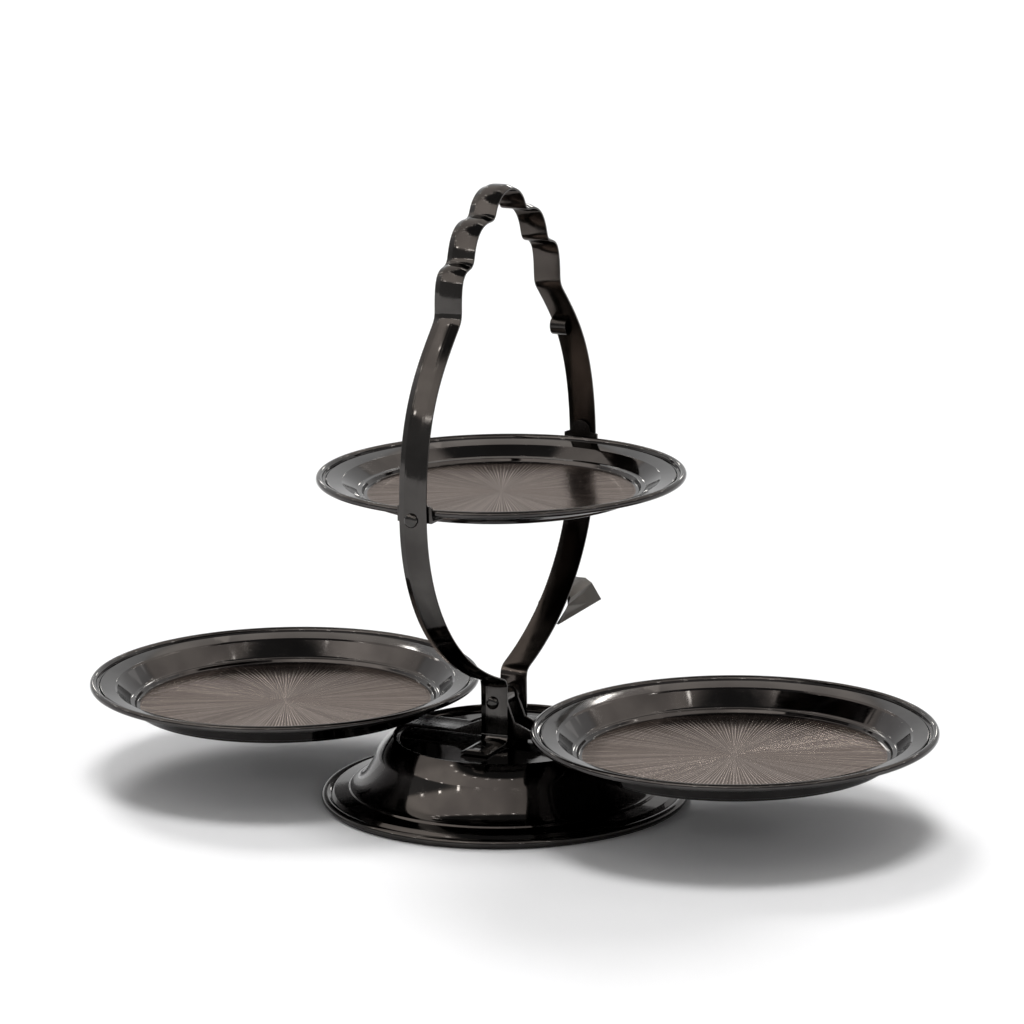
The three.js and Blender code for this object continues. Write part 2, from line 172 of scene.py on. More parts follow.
# ---- Node helpers ----
def node(tree, kind, inputs=None, **settings):
    """A shader node with its inputs set to numbers or linked to sockets."""
    made = tree.nodes.new("ShaderNode" + kind)
    for key, value in settings.items():
        setattr(made, key, value)
    for key, value in (inputs or {}).items():
        if isinstance(value, bpy.types.NodeSocket):
            tree.links.new(value, made.inputs[key])
        else:
            made.inputs[key].default_value = value
    return made


def calc(tree, operation, *values, clamp=False):
    """The result of one step of arithmetic on numbers or sockets."""
    inputs = dict(enumerate(values))
    return node(tree, "Math", inputs, operation=operation, use_clamp=clamp).outputs[0]


def span(tree, value, low, high, start=0.0, end=1.0):
    """A smooth change from start to end as value goes from low to high."""
    settings = {"Value": value, "From Min": low, "From Max": high, "To Min": start, "To Max": end}
    return node(tree, "MapRange", settings, interpolation_type="SMOOTHSTEP").outputs["Result"]


def noise(tree, coordinates, scale, detail=3.0, stretch=None, roughness=0.5):
    """A noise value over coordinates, which can be stretched along their axes."""
    if stretch:
        mapped = node(tree, "Mapping", {"Vector": coordinates, "Scale": stretch})
        coordinates = mapped.outputs[0]
    inputs = {"Vector": coordinates, "Scale": scale, "Detail": detail, "Roughness": roughness}
    return node(tree, "TexNoise", inputs).outputs["Fac"]


def blend_colour(tree, share, first, second):
    """A mix of two colours, each a tuple or a socket."""
    made = node(tree, "Mix", {"Factor": share}, data_type="RGBA")
    for index, colour in ((6, first), (7, second)):
        if isinstance(colour, bpy.types.NodeSocket):
            tree.links.new(colour, made.inputs[index])
        else:
            made.inputs[index].default_value = (*colour, 1.0)
    return made.outputs[2]


def new_material(name):
    """A node material with its tree and its principled shader."""
    material = bpy.data.materials.new(name)
    material.use_nodes = True
    return material, material.node_tree, material.node_tree.nodes["Principled BSDF"]


# ---- Materials ----
wear_share = 0.6
wear_gain = 1.9
hair_gloss = 0.12
finest_polish = 0.03
# Painted highlight: how many times lighter than the floor's light colour the sunburst ray crests are
# painted.
painted_crest_highlight_gain = 2.1
floor_white = (0.86, 0.86, 0.86)
floor_grain = (0.84, 0.84, 0.845)


def plated_metal(name, light, dark, polish, dull, stretch=(1, 1, 1), lines=0.25, edge=0.8):
    """Dark plated metal: cloudy tint, smudged polish, hair lines along the stretch and worn edges."""
    material, tree, shader = new_material(name)
    where = node(tree, "TexCoord").outputs["Object"]
    clouds = noise(tree, where, scale=38.0, detail=4.0)
    smudges = noise(tree, where, scale=95.0, detail=5.0, roughness=0.65)
    hairs = noise(tree, where, scale=700.0, detail=2.0, stretch=stretch)
    peel = noise(tree, where, scale=420.0, detail=2.0)
    pointiness = node(tree, "NewGeometry").outputs["Pointiness"]
    worn = calc(tree, "MULTIPLY", span(tree, pointiness, low=0.52, high=0.60), wear_share)
    tint = blend_colour(tree, span(tree, clouds, low=0.35, high=0.65), light, dark)
    bare = tuple(min(1.0, wear_gain * channel) for channel in light)
    tree.links.new(blend_colour(tree, worn, tint, bare), shader.inputs["Base Color"])
    gloss = span(tree, smudges, low=0.38, high=0.72, start=polish, end=dull)
    gloss = calc(tree, "MULTIPLY_ADD", calc(tree, "SUBTRACT", hairs, 0.5), hair_gloss * lines, gloss)
    tree.links.new(calc(tree, "MAXIMUM", gloss, finest_polish), shader.inputs["Roughness"])
    relief = calc(tree, "MULTIPLY_ADD", hairs, lines, peel)
    bump = node(tree, "Bump", {"Height": relief, "Strength": 0.12, "Distance": 0.00004})
    tree.links.new(bump.outputs[0], shader.inputs["Normal"])
    shader.inputs["Metallic"].default_value = 1.0
    shader.inputs["Specular Tint"].default_value = (edge, edge, edge, 1.0)
    return material


def sunburst_metal(name, light, dark, polish, dull):
    """The plates' satin floor: fine brushed lines, a painted highlight along each ray crest and painted
    shade in each ray valley.
    """
    material, tree, shader = new_material(name)
    where = node(tree, "TexCoord").outputs["Object"]
    parts = node(tree, "SeparateXYZ", {0: where})
    across, along = parts.outputs[0], parts.outputs[1]
    angle = calc(tree, "ARCTAN2", along, across)
    radius = calc(tree, "SQRT", calc(tree, "ADD", calc(tree, "POWER", across, 2.0),
                                     calc(tree, "POWER", along, 2.0)))
    turn = calc(tree, "MULTIPLY", angle, sunburst_rays / math.tau)
    crest = calc(tree, "PINGPONG", calc(tree, "SUBTRACT", turn, 2 / len(ray_samples) + 0.5), 0.5)
    # Painted shade: this mask darkens the floor's colour in the valleys between the ray crests.
    valley = span(tree, crest, low=0.0, high=0.22, start=1.0, end=0.0)
    crest = span(tree, crest, low=0.30, high=0.46)
    fine_turn = node(tree, "CombineXYZ", {0: calc(tree, "MULTIPLY", angle, 60.0),
                                          1: calc(tree, "MULTIPLY", radius, 40.0)})
    brushed = noise(tree, fine_turn.outputs[0], scale=1.0)
    clouds = noise(tree, where, scale=55.0, detail=4.0)
    rings = noise(tree, node(tree, "CombineXYZ", {0: radius}).outputs[0], scale=5200.0, detail=2.0)
    broad_turn = node(tree, "CombineXYZ", {0: calc(tree, "MULTIPLY", angle, 24.0),
                                           1: calc(tree, "MULTIPLY", radius, 12.0)})
    streaks = span(tree, noise(tree, broad_turn.outputs[0], scale=1.0, detail=2.0), low=0.36, high=0.64)
    shade = calc(tree, "MULTIPLY_ADD", brushed, 0.4, calc(tree, "MULTIPLY", valley, 0.45))
    shade = calc(tree, "MULTIPLY_ADD", calc(tree, "SUBTRACT", clouds, 0.5), 0.25, shade)
    shade = calc(tree, "MULTIPLY_ADD", streaks, -0.25, calc(tree, "ADD", shade, 0.12), clamp=True)
    # Painted highlight: the ray crests are lightened in the colour to stand in for the light they catch,
    # more strongly in the streaks.
    crest = calc(tree, "MULTIPLY", crest, calc(tree, "MULTIPLY_ADD", streaks, 0.55, 0.45))
    tint = blend_colour(tree, shade, light, dark)
    painted_crest_highlight = tuple(painted_crest_highlight_gain * channel for channel in light)
    tree.links.new(blend_colour(tree, crest, tint, painted_crest_highlight), shader.inputs["Base Color"])
    gloss = span(tree, brushed, low=0.3, high=0.7, start=polish, end=dull)
    tree.links.new(calc(tree, "MULTIPLY_ADD", crest, -0.06, gloss), shader.inputs["Roughness"])
    relief = calc(tree, "MULTIPLY_ADD", rings, 0.35, brushed)
    bump = node(tree, "Bump", {"Height": relief, "Strength": 0.25, "Distance": 0.00006})
    tree.links.new(bump.outputs[0], shader.inputs["Normal"])
    shader.inputs["Metallic"].default_value = 1.0
    shader.inputs["Specular Tint"].default_value = (0.55, 0.52, 0.5, 1.0)
    return material


def pale_floor():
    """A matt white studio floor with a faint grain."""
    material, tree, shader = new_material("studio_floor")
    where = node(tree, "TexCoord").outputs["Object"]
    grain = noise(tree, where, scale=12.0, detail=5.0)
    tree.links.new(blend_colour(tree, grain, floor_white, floor_grain), shader.inputs["Base Color"])
    shader.inputs["Roughness"].default_value = 0.9
    shader.inputs["Specular IOR Level"].default_value = 0.0
    return material


along_strip = (1.0, 0.04, 0.04)
along_tab = (1.0, 0.06, 0.06)
plate_metal = plated_metal("plate_chrome", (0.075, 0.071, 0.069), (0.052, 0.049, 0.048), 0.05, 0.12)
base_metal = plated_metal("base_chrome", (0.062, 0.058, 0.055), (0.042, 0.039, 0.038), 0.05, 0.12)
strip_metal = plated_metal("strip_chrome", (0.070, 0.066, 0.063), (0.048, 0.045, 0.043), 0.06, 0.14,
                           stretch=along_strip, lines=0.6)
inner_metal = plated_metal("strip_inside", (0.064, 0.056, 0.051), (0.046, 0.040, 0.036), 0.12, 0.24,
                           stretch=along_strip, lines=0.8, edge=0.5)
bracket_metal = plated_metal("bracket_steel", (0.045, 0.042, 0.040), (0.028, 0.026, 0.025), 0.18, 0.32)
rivet_metal = plated_metal("rivet_steel", (0.085, 0.080, 0.077), (0.052, 0.050, 0.048), 0.12, 0.22)
tab_metal = plated_metal("tab_satin", (0.070, 0.065, 0.060), (0.050, 0.046, 0.043), 0.30, 0.42,
                         stretch=along_tab, lines=0.5)
floor_metal = sunburst_metal("plate_floor", (0.250, 0.222, 0.208), (0.088, 0.072, 0.064), 0.14, 0.22)


# ---- Lines and solids ----
straight_turn = 0.02
corner_share = 0.48
on_axis = 1e-6


def offset_line(line, distance):
    """A line of (x, y) points moved to its left, with its corners mitred. Below 0 it moves right."""
    moved = []
    for i, here in enumerate(line):
        into = (here - line[i - 1]).normalized() if i > 0 else None
        out = (line[i + 1] - here).normalized() if i < len(line) - 1 else None
        first, last = into or out, out or into
        along = (first + last).normalized()
        turn = max(along.dot(first), 0.5)
        moved.append(here + Vector((-along.y, along.x)) * (distance / turn))
    return moved


def rounded(corners, steps=5):
    """Points of a line through (x, y, radius) corners, each rounded to its radius."""
    points = [Vector(corner[:2]) for corner in corners]
    line = [points[0]]
    for i in range(1, len(corners) - 1):
        here = points[i]
        back, ahead = points[i - 1] - here, points[i + 1] - here
        turn = math.pi - back.angle(ahead)
        if corners[i][2] <= 0 or turn < straight_turn:
            line.append(here)
            continue
        room = corner_share * min(back.length, ahead.length)
        reach = min(corners[i][2] * math.tan(turn / 2), room)
        start, end = here + back.normalized() * reach, here + ahead.normalized() * reach
        for k in range(steps + 1):
            share = k / steps
            near, far = start.lerp(here, share), here.lerp(end, share)
            line.append(near.lerp(far, share))
    line.append(points[-1])
    return line


def curve_points(start, handle, end, steps):
    """Points along a quadratic curve, without its start."""
    a, b, c = Vector(start), Vector(handle), Vector(end)
    return [a.lerp(b, k / steps).lerp(b.lerp(c, k / steps), k / steps) for k in range(1, steps + 1)]


def bezier_points(a, b, c, d, steps):
    """Points along a cubic curve, without its start."""
    a, b, c, d = Vector(a), Vector(b), Vector(c), Vector(d)
    points = []
    for k in range(1, steps + 1):
        t = k / steps
        points.append(a * (1 - t) ** 3 + b * 3 * t * (1 - t) ** 2 + c * 3 * t * t * (1 - t) + d * t ** 3)
    return points


def arc(centre, radius, start, end, steps):
    """Points round a centre from one angle to another, in degrees."""
    points = []
    for k in range(steps + 1):
        angle = math.radians(start + (end - start) * k / steps)
        points.append(Vector((centre[0] + radius * math.cos(angle), centre[1] + radius * math.sin(angle))))
    return points


def fix_outward(mesh):
    """Turns every face of a closed mesh to face out."""
    shape = bmesh.new()
    shape.from_mesh(mesh)
    bmesh.ops.recalc_face_normals(shape, faces=shape.faces)
    shape.to_mesh(mesh)
    shape.free()


def make_piece(name, vertices, faces, materials, body, place=(0, 0, 0), face_slots=None, sharp=32):
    """A smooth-shaded mesh object from millimetre vertices, riding on a body."""
    mesh = bpy.data.meshes.new(name)
    mesh.from_pydata([Vector(v) * MM for v in vertices], [], faces)
    for material in materials:
        mesh.materials.append(material)
    if face_slots:
        mesh.polygons.foreach_set("material_index", face_slots)
    mesh.shade_smooth()
    mesh.set_sharp_from_angle(angle=math.radians(sharp))
    mesh.validate()
    fix_outward(mesh)
    piece = bpy.data.objects.new(name, mesh)
    piece.location = Vector(place) * MM
    bpy.context.scene.collection.objects.link(piece)
    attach(piece, body)
    return piece


def turned_rings(profile, segments, vertices, faces):
    """Adds a profile of (radius, height) points turned round Z. Points on the axis are single vertices."""
    rings = []
    for point in profile:
        if point.x < on_axis:
            rings.append([len(vertices)] * segments)
            vertices.append((0, 0, point.y))
            continue
        rings.append(list(range(len(vertices), len(vertices) + segments)))
        for k in range(segments):
            angle = math.tau * k / segments
            vertices.append((point.x * math.cos(angle), point.x * math.sin(angle), point.y))
    for low, high in zip(rings, rings[1:]):
        for k in range(segments):
            after = (k + 1) % segments
            corners = [low[k], low[after], high[after], high[k]]
            faces.append(tuple(dict.fromkeys(corners)))
    return rings


def turned_piece(name, profile, segments, material, body, place=(0, 0, 0), along_y=False):
    """A closed turned solid. With along_y its axis lies along +Y."""
    vertices, faces = [], []
    turned_rings(profile, segments, vertices, faces)
    if along_y:
        vertices = [(x, z, -y) for x, y, z in vertices]
    return make_piece(name, vertices, faces, [material], body, place)


# ---- Base ----
def base_upper_side(crest_height, foot, bead_centre):
    """The base's upper side from its axis out: flat recess, lip, rounded crest, hollow cone and flange."""
    recess = crest_height - recess_depth
    recess_corner = crest_radius - recess_corner_run
    lip = (crest_radius - lip_run, crest_height - lip_fall)
    crest = (crest_radius, crest_height)
    cone_foot = (foot, flange_height + cone_foot_rise)
    line = [Vector((0, recess))]
    line += rounded([(30, recess, 0), (recess_corner, recess, 1.2), (*lip, 0.9)], 5)
    line += curve_points(lip, (crest_radius - lip_handle_run, crest_height), crest, 6)
    line += curve_points(crest, Vector(cone_top) + Vector(crest_handle), cone_top, 20)
    line += curve_points(cone_top, Vector(cone_foot) + Vector(cone_handle), cone_foot, 24)
    step = [
        (*cone_foot, 0),
        (foot + 1.1, flange_height + 0.9, 0.5),
        (foot + 1.7, flange_height, 0.6),
        (bead_centre.x - 3.6, 4.5, 0.8),
        (bead_centre.x - 2.2, 3.0, 0.8),
    ]
    return line + rounded(step, 4)[1:]


def base_lower_side(crest_height, foot, bead_centre):
    """The base's underside from its axis out, a sheet's thickness under the upper side."""
    recess = crest_height - recess_depth
    corners = [
        (0, recess),
        (crest_radius - recess_corner_run, recess),
        (crest_radius, crest_height),
        cone_top,
        (foot - 2, flange_height + 2.0),
        (foot + 1.5, flange_height),
        (bead_centre.x - 2.4, 3.6),
    ]
    line = offset_line([Vector(corner) for corner in corners], -base_sheet)
    line[0].x = 0
    return rounded([(p.x, p.y, 2.0) for p in line], 5)


def build_base():
    """The pressed base: a turned sheet with its edge rolled under, open underneath."""
    high = box_mm("base")[1]
    foot = high.x - flange_width
    bead_centre = Vector((high.x - base_bead, base_bead))
    rim = arc(bead_centre, base_bead, 128, -64, 22)
    rim_inner = bead_centre.x - base_bead * 0.7
    hem = [Vector((rim[-1].x, 0.0)), Vector((rim_inner, 0.0)), Vector((rim_inner, base_bead))]
    upper = base_upper_side(high.z, foot, bead_centre)
    lower = base_lower_side(high.z, foot, bead_centre)
    profile = upper + rim + hem + lower[::-1]
    piece = turned_piece("pressed_base", profile[::-1], 256, base_metal, "frame")
    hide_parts("base")


# ---- Plates ----
def plate_corners(radius, floor_depth, ledge_depth):
    """(radius, height, rounding) corners of a plate's upper side, from the floor's rim out to its edge."""
    bead_inner = radius - 2 * rim_bead
    flange_inner = radius - rim_width
    wall_foot = flange_inner - wall_run
    floor_edge = wall_foot - ledge_width
    return [
        (floor_edge - floor_margin, -floor_depth, 0),
        (floor_edge - ledge_step, -floor_depth, 0.7),
        (floor_edge, -ledge_depth, 0.6),
        (wall_foot, -ledge_depth + ledge_slope, 2.2),
        (flange_inner - 0.4, -flange_fall - 0.6, 0.7),
        (flange_inner + 0.6, -flange_fall, 0.9),
        (bead_inner - groove_width, 0, 0.5),
        (bead_inner - groove_width * 0.6, -groove_depth, 0.4),
        (bead_inner + 0.2, -groove_depth * 0.6, 0.2),
        (bead_inner + 0.35, 0.2, 0),
    ]


def sunburst(edge, outer_ring, floor_depth, vertices, faces):
    """Adds a plate's floor inside a ring of vertices: rings that rise at each ray's crest, and a middle."""
    samples = len(ray_samples)
    count = sunburst_rays * samples
    rows = [(edge - ray_start, 0.0), (edge - ray_full, 1.0)]
    rows += [(radius, 1.0) for radius in ray_rings if radius < edge - ray_ring_gap]
    loops = []
    for radius, share in rows:
        loops.append(list(range(len(vertices), len(vertices) + count)))
        for k in range(count):
            angle = math.tau * k / count
            rise = ray_samples[k % samples] * ray_slope * radius * share
            vertices.append((radius * math.cos(angle), radius * math.sin(angle), rise - floor_depth))
    for k in range(sunburst_rays):
        fine = [loops[0][(k * samples + s) % count] for s in range(samples + 1)]
        faces.append((outer_ring[k], outer_ring[(k + 1) % sunburst_rays], *fine[::-1]))
    for near, far in zip(loops, loops[1:]):
        for k in range(count):
            after = (k + 1) % count
            faces.append((near[k], near[after], far[after], far[k]))
    middle = len(vertices)
    vertices.append((0, 0, -floor_depth))
    faces += [(loops[-1][k], loops[-1][(k + 1) % count], middle) for k in range(count)]


def build_plate(node_name, body, floor_depth, ledge_depth):
    """A spun plate: rolled edge, groove, falling flange, cove wall, ledge ring and a sunburst floor."""
    low, high = box_mm(node_name)
    radius = (high.x - low.x) / 2
    place = ((low.x + high.x) / 2, (low.y + high.y) / 2, high.z - rim_bead)
    corners = plate_corners(radius, floor_depth, ledge_depth)
    bead = arc((radius - rim_bead, 0), rim_bead, 165, -130, 22)
    under = [Vector((0, -floor_depth))] + [Vector(corner[:2]) for corner in corners[1:7]]
    under = offset_line(under, -plate_sheet)
    under[0].x = 0
    under = rounded([(p.x, p.y, 1.4) for p in under], 5)
    profile = rounded(corners, 6) + bead + under[::-1]

    vertices, faces = [], []
    rings = turned_rings(profile[::-1], sunburst_rays, vertices, faces)
    skin_faces = len(faces)
    sunburst(corners[0][0], rings[-1], floor_depth, vertices, faces)
    slots = [0] * skin_faces + [1] * (len(faces) - skin_faces)
    materials = [plate_metal, floor_metal]
    piece = make_piece(node_name + "_spun", vertices, faces, materials, body, place, slots)
    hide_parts(node_name)


# ---- Hoop ----
arm_steps = 80
wave_steps = 40


def hoop_half():
    """The strip's outer face from the +Y foot over one arm to the top of the grip, as (y, z) points."""
    side = hoop_half_width
    reach = lower_sweep * (side - wall_outer)
    wall_top = fold_pin_height + wall_above_pin
    shoulder = Vector((shoulder_half_width, grip_top - shoulder_from_top))
    rise = shoulder.y - pivot_height
    path = [Vector((foot_end, foot_top)), Vector((wall_outer, foot_top)), Vector((wall_outer, wall_top))]
    path += bezier_points(path[-1], (wall_outer + reach, wall_top + reach * bow_start_rise),
                          (side, pivot_height - reach * bow_end_rise), (side, pivot_height), arm_steps)
    path += bezier_points(path[-1], (side, pivot_height + rise * upper_sweep_rise),
                          shoulder + Vector(shoulder_lean), shoulder, arm_steps)
    at = shoulder
    for (across, down), start, end in grip_waves:
        valley = Vector((across, grip_top - down))
        path += bezier_points(at, at + Vector(start), valley + Vector(end), valley, wave_steps)
        at = valley
    top = (0, grip_top)
    return path + bezier_points(at, at + Vector(crown_start), (crown_handle, grip_top), top, wave_steps)


def hoop_line(step=0.7, passes=10):
    """Evenly spaced points along the whole strip, from the -Y foot to the +Y foot, with eased bends."""
    path = hoop_half()
    lengths = [0.0]
    for before, here in zip(path, path[1:]):
        lengths.append(lengths[-1] + (here - before).length)
    count = round(lengths[-1] / step)
    half, i = [], 0
    for k in range(count + 1):
        target = lengths[-1] * k / count
        while lengths[i + 1] < target and i < len(path) - 2:
            i += 1
        half.append(path[i].lerp(path[i + 1], (target - lengths[i]) / (lengths[i + 1] - lengths[i])))
    line = [Vector((-p.x, p.y)) for p in half[:-1]] + half[::-1]
    for _ in range(passes):
        eased = [(a + b * 2 + c) / 4 for a, b, c in zip(line, line[1:], line[2:])]
        line = [line[0], *eased, line[-1]]
    return line


def strip_section(steps=64):
    """(x, outward) points round the strip: a face with two broad chamfers, then the flat inner face."""
    half = strip_width / 2
    crease = half - strip_chamfer
    face = []
    for k in range(steps + 1):
        x = (half - face_margin) * (2 * k / steps - 1)
        past = max(0.0, abs(x) - crease)
        crown = strip_crown * min(1.0, abs(x) / crease) ** 2
        chamfer = strip_slope * (math.hypot(past, crease_ease) - crease_ease)
        groove = strip_groove * math.exp(-(((abs(x) - crease) / groove_spread) ** 2))
        face.append((x, -(crown + chamfer + groove)))
    back, front = -strip_thickness, face[-1][1]
    right = [(half - x, front - y) for x, y in front_corner]
    right += [(half - x, back + y) for x, y in back_corner]
    left = [(-x, y) for x, y in reversed(right)]
    return face + right, left


def build_hoop():
    """The bent strip, swept along its line, with its two ends eased."""
    line = hoop_line()
    vertices, faces, slots = [], [], []
    previous = None
    last = len(line) - 1
    middle = -strip_thickness / 2
    face, rest = strip_section()
    section = face + rest
    for i, here in enumerate(line):
        along = (line[min(i + 1, last)] - line[max(i - 1, 0)]).normalized()
        outward = Vector((-along.y, along.x))
        from_end = min(i, last - i)
        ease = end_ease[from_end] if from_end < len(end_ease) else 0.0
        ring = list(range(len(vertices), len(vertices) + len(section)))
        for x, out in section:
            place = here + outward * (middle + (out - middle) * (1 - ease))
            vertices.append((x * (1 - end_narrowing * ease), place.x, place.y))
        if previous:
            for k in range(len(ring)):
                after = (k + 1) % len(ring)
                faces.append((previous[k], ring[k], ring[after], previous[after]))
                slots.append(1 if k == len(face) - 1 else 0)
        else:
            faces.append(tuple(ring))
            slots.append(0)
        previous = ring
    faces.append(tuple(reversed(previous)))
    slots.append(0)
    materials = [strip_metal, inner_metal]
    piece = make_piece("bent_strip", vertices, faces, materials, "frame", face_slots=slots)
    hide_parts("hoop")


# ---- Turned small parts ----
def ring_profile(bore, radius, start, end, soften=0.12):
    """A ring's closed section, with its corners eased."""
    return [Vector(p) for p in (
        (bore, start), (radius - soften, start), (radius, start + soften), (radius, end - soften),
        (radius - soften, end), (bore, end), (bore, start))]


def build_washers():
    """Washers at both hinges, and the sleeve between the inner hinge ears."""
    washers = ("pivot_washer_near", "pivot_washer_far", "fold_washer_near", "fold_washer_far")
    for name in (*washers, "fold_sleeve"):
        low, high = box_mm(name)
        radius = (high.x - low.x) / 2
        bore = fold_washer_bore if name.startswith("fold") else pivot_washer_bore
        place = (0, 0, (low.z + high.z) / 2)
        profile = ring_profile(bore, radius, low.y, high.y)
        piece = turned_piece(name + "_turned", profile, 48, rivet_metal, "frame", place, True)
        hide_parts(name)


def dome(radius, height, steps=10):
    """(radius, rise) points of a rivet head from its rim to its crown, slightly flattened on top."""
    points = [Vector((radius, 0.0))]
    for k in range(1, steps + 1):
        angle = math.pi / 2 * k / steps
        points.append(Vector((radius * math.cos(angle) ** 0.8, height * math.sin(angle))))
    points[-1].x = 0
    return points


def build_pivot_rivet(side, name):
    """A pivot rivet with a domed head outside the arm, on the -Y side (-1) or the +Y side (1)."""
    low, high = box_mm("pivot_rivet_" + name)
    start, tip = sorted((abs(low.y), abs(high.y)))
    face = tip - pivot_head_height
    shank = [(0, start), (pivot_shank - shank_ease, start), (pivot_shank, start + shank_ease)]
    shank += [(pivot_shank, face), (pivot_collar, face)]
    profile = [Vector(p) for p in shank] + [Vector((p.x, face + p.y)) for p in dome(pivot_head, tip - face)]
    if side < 0:
        profile = [Vector((p.x, -p.y)) for p in reversed(profile)]
    place = (0, 0, pivot_height)
    piece = turned_piece("domed_rivet_" + name, profile, 48, rivet_metal, "frame", place, True)
    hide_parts("pivot_rivet_" + name)


def build_foot_rivet(name):
    """A rivet that holds a foot to the base: flat head underneath, flush with the foot on top."""
    low, high = box_mm("foot_rivet_" + name)
    head_top = low.z + foot_head_height
    shank_top = high.z - foot_shank_ease
    profile = rounded([
        (0, low.z, 0),
        (foot_head_face, low.z, 0.5),
        (foot_head, low.z + foot_head_slope, 0.3),
        (foot_head, head_top, 0.1),
        (foot_shank, head_top, 0),
        (foot_shank, shank_top, 0),
        (foot_shank - foot_shank_ease, high.z, 0),
        (0, high.z, 0),
    ], 4)
    place = (0, (low.y + high.y) / 2, 0)
    piece = turned_piece("flush_rivet_" + name, profile, 40, rivet_metal, "frame", place)
    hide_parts("foot_rivet_" + name)


def build_fold_pin():
    """The long pin through both foot walls, with a domed head at each end."""
    face = fold_pin_high.y - fold_head_height
    head = [Vector((fold_shank, face)), Vector((fold_collar, face))]
    head += [Vector((p.x, face + p.y)) for p in dome(fold_head, fold_head_height)]
    profile = [Vector((p.x, -p.y)) for p in reversed(head)] + head
    place = (0, 0, fold_pin_height)
    piece = turned_piece("fold_pin_turned", profile, 48, rivet_metal, "frame", place, True)
    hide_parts("fold_pin")


def build_rivets():
    """The pivot rivets, the rivets in the feet and the fold pin."""
    for side, name in ((-1, "near"), (1, "far")):
        build_pivot_rivet(side, name)
        build_foot_rivet(name)
    build_fold_pin()


# ---- Bent sheet parts ----
weld_distance = 2e-6
flat_angle = math.radians(1.5)
edge_angle = math.radians(32)


def refined(node_name, material, body, bevel):
    """A CAD solid's own shape with its edges rounded over."""
    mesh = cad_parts[node_name].data.copy()
    mesh.materials.clear()
    mesh.materials.append(material)
    shape = bmesh.new()
    shape.from_mesh(mesh)
    bmesh.ops.remove_doubles(shape, verts=shape.verts, dist=weld_distance)
    bmesh.ops.dissolve_limit(shape, angle_limit=flat_angle, verts=shape.verts, edges=shape.edges)
    edges = [e for e in shape.edges if len(e.link_faces) == 2 and e.calc_face_angle(0.0) > edge_angle]
    bmesh.ops.bevel(shape, geom=edges, offset=bevel * MM, segments=3, profile=0.6, affect="EDGES",
                    clamp_overlap=True)
    shape.to_mesh(mesh)
    shape.free()
    mesh.shade_smooth()
    mesh.set_sharp_from_angle(angle=math.radians(30))
    fix_outward(mesh)
    piece = bpy.data.objects.new(node_name + "_formed", mesh)
    bpy.context.scene.collection.objects.link(piece)
    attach(piece, body)
    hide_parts(node_name)


# ---- Studio: azimuths in degrees, 0 straight before the stand at -Y, 90 at +X ----
front_azimuth = 26.0
wall_light = 0.9
wall_span = (-0.45, 0.0)
room_light = 0.30
ceiling_light = 0.11
sky_light = (0.40, 0.40, 0.405)

ring_low = 30.0
ring_high = 62.0
ring_light = 1.12
ring_tint = (1.0, 0.93, 0.87)
ring_panel_azimuth = -24.0
ring_panel_gain = 0.6
ring_panel_span = (0.45, 0.8)

lamp_light = 20.0
lamp_tint = (1.0, 0.98, 0.94)
lamp_rows = ((ring_low, 20, 1.0), (ring_high, 20, 0.6))
lamp_span = (0.9, 0.97)
single_lamps = ((196, 16, 1.6), (216, 16, 1.6), (236, 18, 1.2))

floor_half_width = 30.0
floor_drop = 0.0002

camera_azimuth = 26.25
camera_elevation = 12.91
camera_roll = -0.73
camera_distance = 1.85
camera_aim = (0.0039, 0.0019, 0.1243)
camera_lens = 154.2


def direction(azimuth, elevation):
    """The unit vector towards an azimuth and an elevation in degrees."""
    a, e = math.radians(azimuth), math.radians(elevation)
    return Vector((math.sin(a) * math.cos(e), -math.cos(a) * math.cos(e), math.sin(e)))


def angle_span(tree, value, low, high, start=0.0, end=1.0):
    """A smooth change between two angles given in degrees."""
    return span(tree, value, math.radians(low), math.radians(high), start, end)


def toward_azimuth(tree, azimuth, centre):
    """The cosine of the turn between a direction's azimuth and one in degrees."""
    return calc(tree, "COSINE", calc(tree, "SUBTRACT", azimuth, math.radians(centre)))


def ring_and_walls(tree, azimuth, elevation):
    """A warm ring of light over pale walls behind the stand, a dark room before it and a dim ceiling."""
    behind = span(tree, toward_azimuth(tree, azimuth, front_azimuth), *wall_span, 1.0, 0.0)
    below = angle_span(tree, elevation, ring_low - 3, ring_low + 1, 1.0, 0.0)
    above = angle_span(tree, elevation, ring_high - 1, ring_high + 4)
    ring_share = calc(tree, "SUBTRACT", calc(tree, "SUBTRACT", 1.0, below), above, clamp=True)
    room = calc(tree, "MULTIPLY_ADD", behind, wall_light - room_light, room_light)
    glow = calc(tree, "MULTIPLY_ADD", above, ceiling_light, calc(tree, "MULTIPLY", below, room))
    grey = node(tree, "CombineColor", {0: glow, 1: glow, 2: glow}).outputs[0]
    panel = span(tree, toward_azimuth(tree, azimuth, ring_panel_azimuth), *ring_panel_span)
    gain = calc(tree, "MULTIPLY_ADD", panel, ring_panel_gain, 1.0)
    tint = tuple(ring_light * channel for channel in ring_tint)
    warm = node(tree, "VectorMath", {0: tint, "Scale": gain}, operation="SCALE").outputs[0]
    return blend_colour(tree, ring_share, grey, warm)


